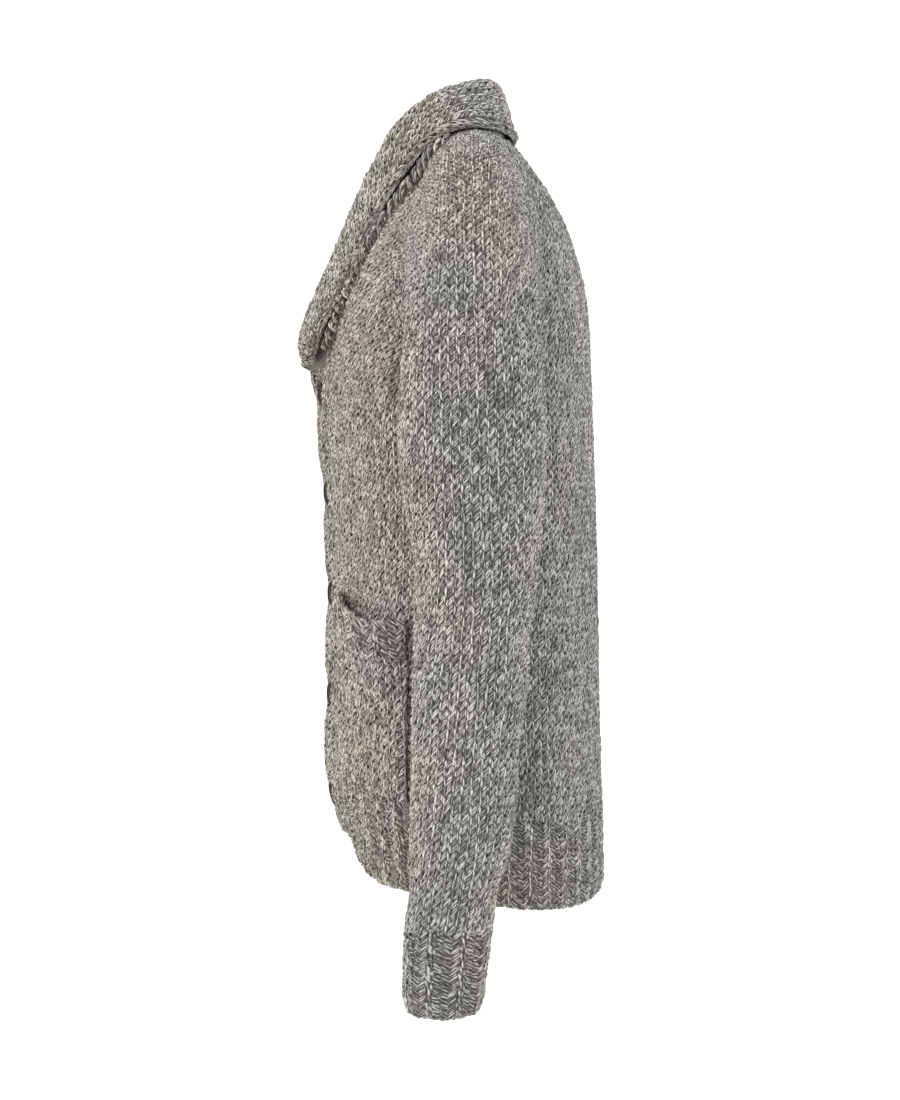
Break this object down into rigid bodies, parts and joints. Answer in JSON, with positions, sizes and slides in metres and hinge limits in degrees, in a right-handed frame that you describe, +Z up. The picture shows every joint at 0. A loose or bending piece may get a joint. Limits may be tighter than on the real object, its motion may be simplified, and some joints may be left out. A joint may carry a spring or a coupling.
{
  "type": "cardigan",
  "caption": "Chunky knitted shawl collar cardigan with raglan sleeves, ribbed hem and cuffs, patch pockets and a buttoned front, filled out and hollow.",
  "frame": {"origin": "on the middle plane, level with the high points of the shoulders, below the collar, where the wearer carries the garment", "axes": "+Z up along the body's length, the buttoned fronts face -Y, the wearer's left is +X"},
  "size_m": [0.572, 0.2763, 0.8058],
  "materials": {
    "knit": "marled grey chunky wool, stockinette",
    "rib": "marled grey chunky wool, ribbed",
    "button": "dark brown, satin"
  },
  "bodies": {
    "root": {"back": "knit", "front_left": "knit", "front_right": "knit", "sleeve_left": "knit", "sleeve_right": "knit", "collar": "knit", "pocket_left": "knit", "pocket_right": "knit", "cuff_left": "rib", "cuff_right": "rib", "hem_back": "rib", "hem_front_left": "rib", "hem_front_right": "rib", "band_left": "rib", "band_right": "rib", "pocket_band_left": "rib", "pocket_band_right": "rib", "button_1": "button", "button_2": "button", "button_3": "button", "button_4": "button", "button_5": "button"}
  },
  "joints": []
}
